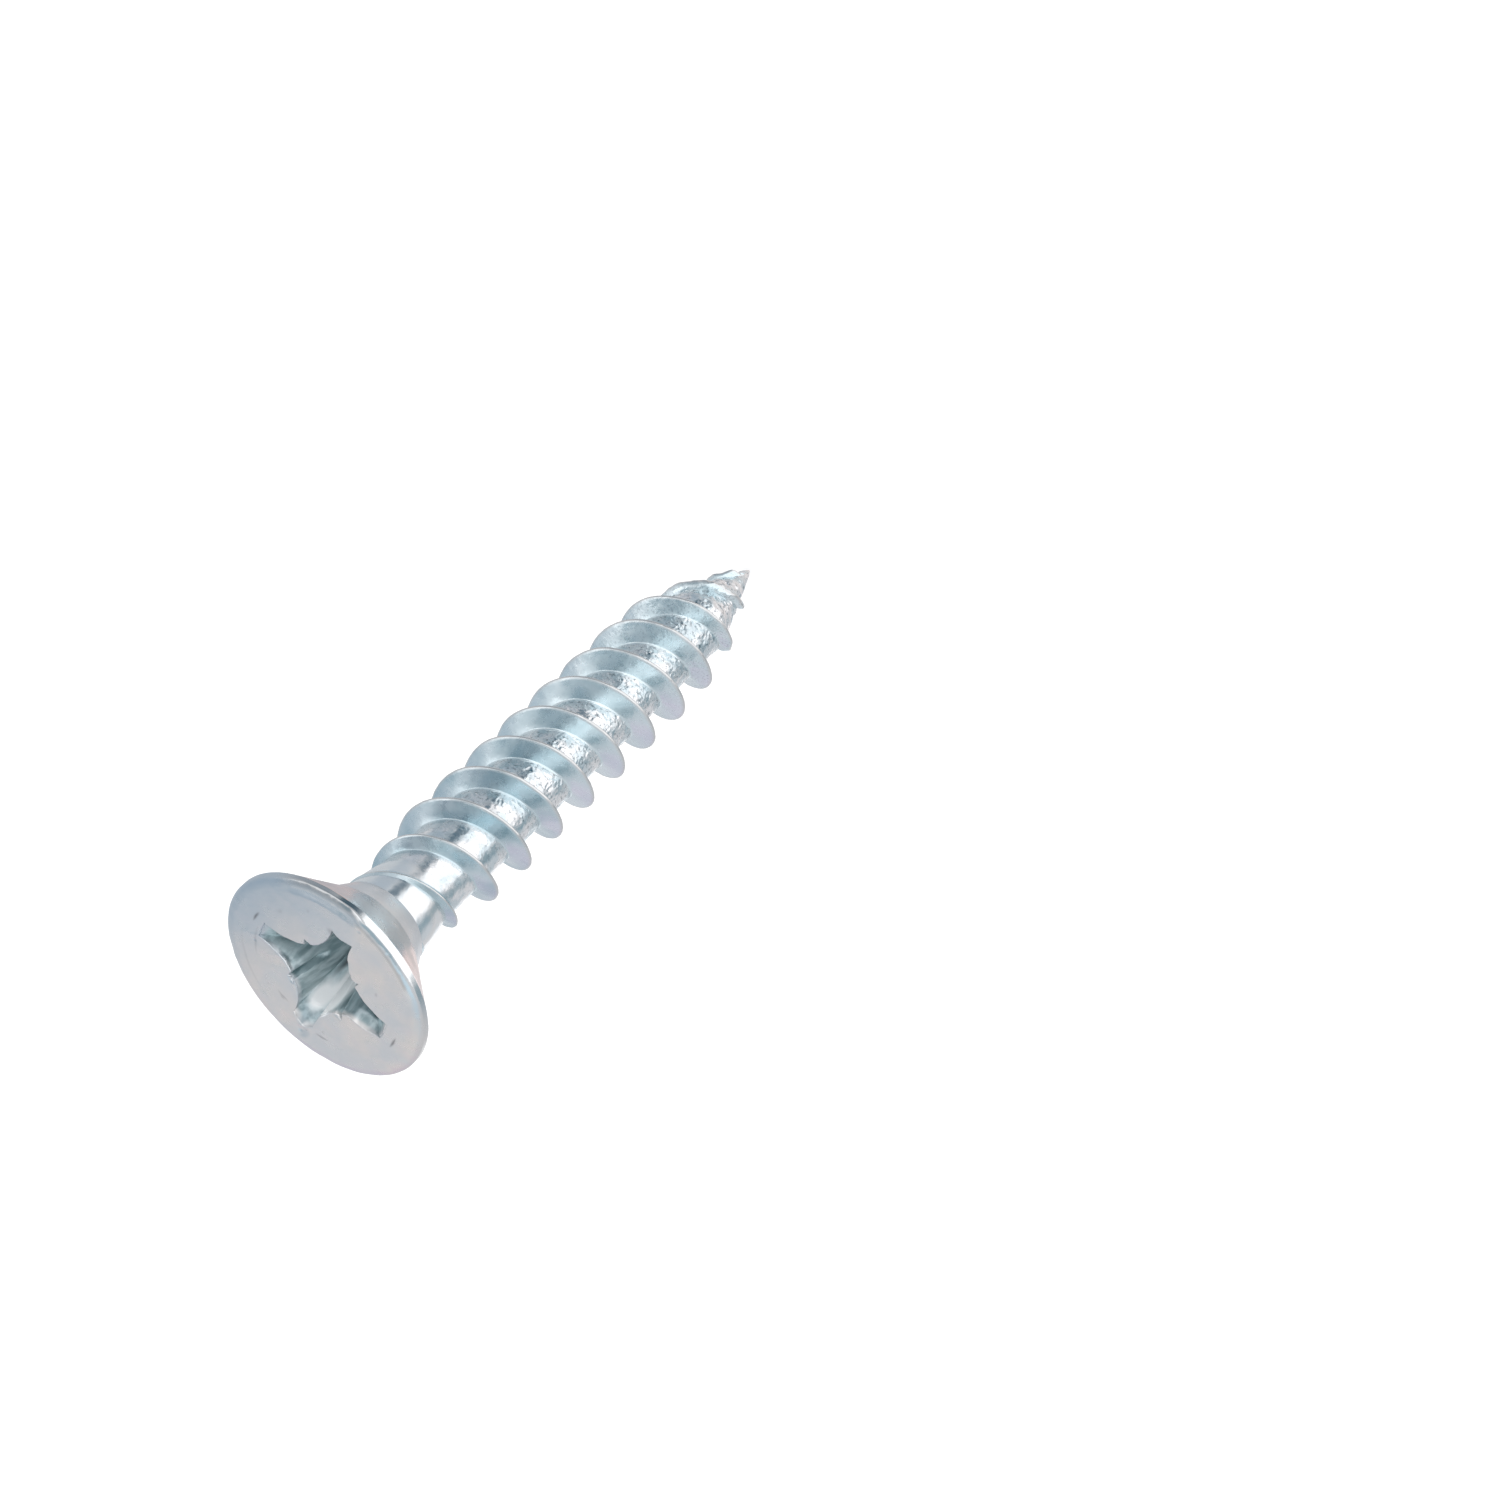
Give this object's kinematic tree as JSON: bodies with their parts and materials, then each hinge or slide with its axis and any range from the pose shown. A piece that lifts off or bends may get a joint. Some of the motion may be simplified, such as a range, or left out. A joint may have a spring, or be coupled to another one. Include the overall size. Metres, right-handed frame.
{
  "type": "wood screw",
  "caption": "Countersunk wood screw with a flat head, cross recess, short plain neck, coarse right-hand thread and a sharp point.",
  "frame": {"origin": "centre of the flat head face, where the screw's axis meets the surface it is driven flush with", "axes": "+Z out of the head along the screw's axis, so the tip points to -Z; +X and +Y are across the axis, with the recess wings 50 and 140 degrees from +X"},
  "size_m": [0.008, 0.008, 0.0254],
  "materials": {
    "head_zinc": "satin bright zinc plating, faintly scuffed",
    "shank_zinc": "satin bright zinc plating with rolled flow marks",
    "thread_zinc": "bright rolled flanks and crests, zinc plated"
  },
  "bodies": {
    "root": {"head": "head_zinc", "neck": "shank_zinc", "shank_core": "shank_zinc", "point": "shank_zinc", "thread_rib_a": "thread_zinc", "thread_rib_b": "thread_zinc"}
  },
  "joints": []
}
